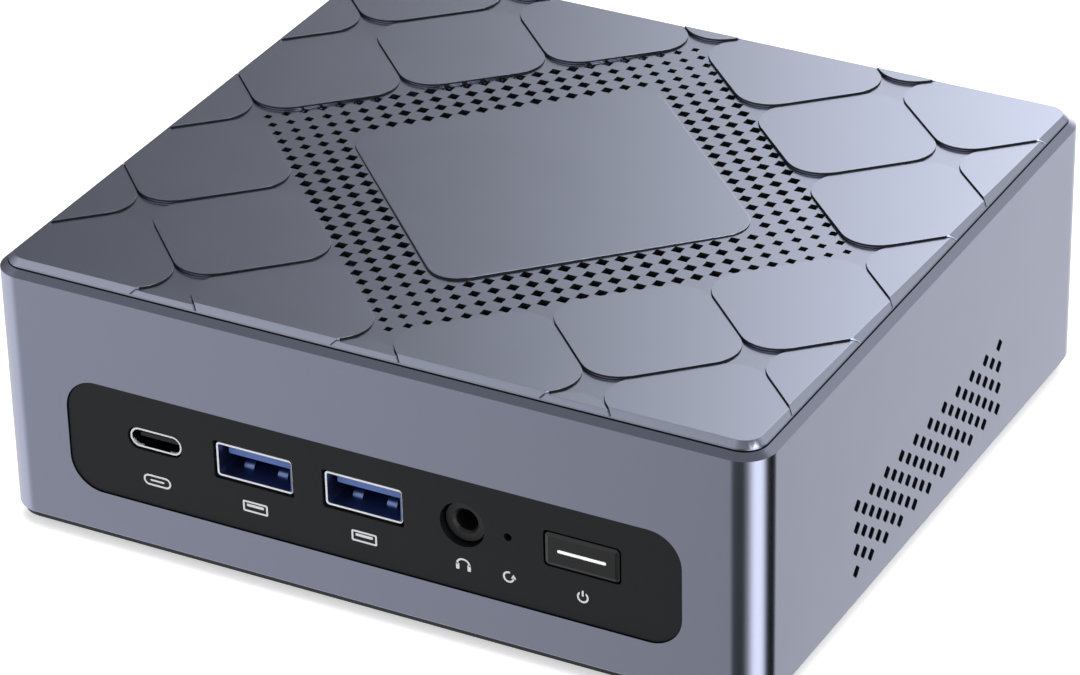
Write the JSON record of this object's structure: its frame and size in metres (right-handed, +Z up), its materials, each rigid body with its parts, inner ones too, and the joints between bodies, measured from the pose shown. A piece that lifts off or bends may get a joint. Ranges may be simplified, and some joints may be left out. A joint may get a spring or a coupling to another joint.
{
  "type": "mini desktop computer",
  "caption": "Compact square-cornered desktop computer: metal shell, tiled perforated lid, side vents, socket panels, push power button, and a blower, mainboard, memory and drive inside.",
  "frame": {"origin": "centre of the footprint, on the surface that the feet stand on", "axes": "+X to the right seen from the front, +Y towards the back, +Z up"},
  "size_m": [0.128, 0.1168, 0.046],
  "materials": {
    "shell_metal": "satin bead-blasted grey coat",
    "lid_finish": "satin metallic grey coat with fine grain",
    "base_plastic": "fine-textured black",
    "dark_steel": "blackened",
    "panel_plastic": "fine-textured black",
    "button_plastic": "smooth satin black",
    "light_guide": "milky white",
    "inner_plastic": "moulded black",
    "blue_plastic": "moulded blue",
    "spring_steel": "plain",
    "socket_steel": "bright nickel plated",
    "circuit_board": "green solder mask",
    "card_board": "dark blue solder mask",
    "chip_resin": "black moulding resin",
    "ferrite": "pressed grey ferrite",
    "can_aluminium": "plain",
    "copper": "plain copper",
    "plain_steel": "zinc plated",
    "bearing_brass": "turned",
    "cable_jacket": "soft jacket",
    "rubber": "moulded"
  },
  "bodies": {
    "case": {"main_shell": "shell_metal", "top_cover": "lid_finish", "bottom_cover": "base_plastic", "foot_1": "rubber", "foot_2": "rubber", "foot_3": "rubber", "foot_4": "rubber", "case_screws": "dark_steel", "front_panel": "panel_plastic", "rear_panel": "panel_plastic", "power_switch": "inner_plastic", "reset_switch": "inner_plastic", "type_c_shell": "socket_steel", "type_c_tongue": "inner_plastic", "type_a_shell_1": "socket_steel", "type_a_shell_2": "socket_steel", "type_a_tongue_1": "blue_plastic", "type_a_tongue_2": "blue_plastic", "audio_jack": "inner_plastic", "mainboard": "circuit_board", "board_screws": "plain_steel", "board_chips": "chip_resin", "power_coils": "ferrite", "capacitors": "can_aluminium", "cpu_package": "circuit_board", "heatsink_base": "copper", "heatsink_screws": "plain_steel", "heat_pipes": "copper", "fin_stack": "can_aluminium", "blower_housing": "inner_plastic", "blower_cover": "inner_plastic", "blower_bearing": "bearing_brass", "blower_cable": "cable_jacket", "memory_socket_1": "inner_plastic", "memory_socket_2": "inner_plastic", "memory_module_1": "circuit_board", "memory_module_2": "circuit_board", "card_sockets": "inner_plastic", "solid_state_drive": "card_board", "wireless_card": "card_board", "card_screws": "plain_steel", "antennas": "card_board", "antenna_cables": "cable_jacket", "coin_cell": "plain_steel", "coin_cell_holder": "inner_plastic", "power_inlet": "inner_plastic", "display_sockets": "socket_steel", "network_socket_1": "socket_steel", "network_socket_2": "socket_steel", "rear_type_a_sockets": "socket_steel"},
    "power_button": {"power_button": "button_plastic", "power_light_bar": "light_guide", "power_switch_plunger": "spring_steel"},
    "reset_plunger": {"reset_plunger": "spring_steel"},
    "blower_wheel": {"blower_wheel": "inner_plastic", "blower_shaft": "plain_steel"},
    "memory_latch_1": {"memory_latch_1": "spring_steel"},
    "memory_latch_2": {"memory_latch_2": "spring_steel"},
    "memory_latch_3": {"memory_latch_3": "spring_steel"},
    "memory_latch_4": {"memory_latch_4": "spring_steel"}
  },
  "joints": [
    {"name": "power_press", "type": "slide", "parent": "case", "child": "power_button", "axis": [0, 1, 0], "range_m": [0, 0.0005], "stiffness_N_per_m": 1500, "springref_m": -0.0003},
    {"name": "reset_press", "type": "slide", "parent": "case", "child": "reset_plunger", "axis": [0, 1, 0], "range_m": [0, 0.00025], "stiffness_N_per_m": 1500, "springref_m": -0.0003},
    {"name": "blower_spin", "type": "hinge", "parent": "case", "child": "blower_wheel", "pos_m": [0, 0.002, 0.035], "axis": [0, 0, 1], "continuous": true},
    {"name": "memory_latch_1_open", "type": "hinge", "parent": "case", "child": "memory_latch_1", "pos_m": [-0.0247, 0.0018, 0.013], "axis": [0, 0, -1], "range_deg": [0, 7], "stiffness_Nm_per_rad": 0.05, "springref_deg": -1.15},
    {"name": "memory_latch_2_open", "type": "hinge", "parent": "case", "child": "memory_latch_2", "pos_m": [0.0477, 0.0018, 0.013], "axis": [0, 0, 1], "range_deg": [0, 7], "stiffness_Nm_per_rad": 0.05, "springref_deg": -1.15},
    {"name": "memory_latch_3_open", "type": "hinge", "parent": "case", "child": "memory_latch_3", "pos_m": [-0.0247, 0.0378, 0.013], "axis": [0, 0, -1], "range_deg": [0, 7], "stiffness_Nm_per_rad": 0.05, "springref_deg": -1.15},
    {"name": "memory_latch_4_open", "type": "hinge", "parent": "case", "child": "memory_latch_4", "pos_m": [0.0477, 0.0378, 0.013], "axis": [0, 0, 1], "range_deg": [0, 7], "stiffness_Nm_per_rad": 0.05, "springref_deg": -1.15}
  ]
}
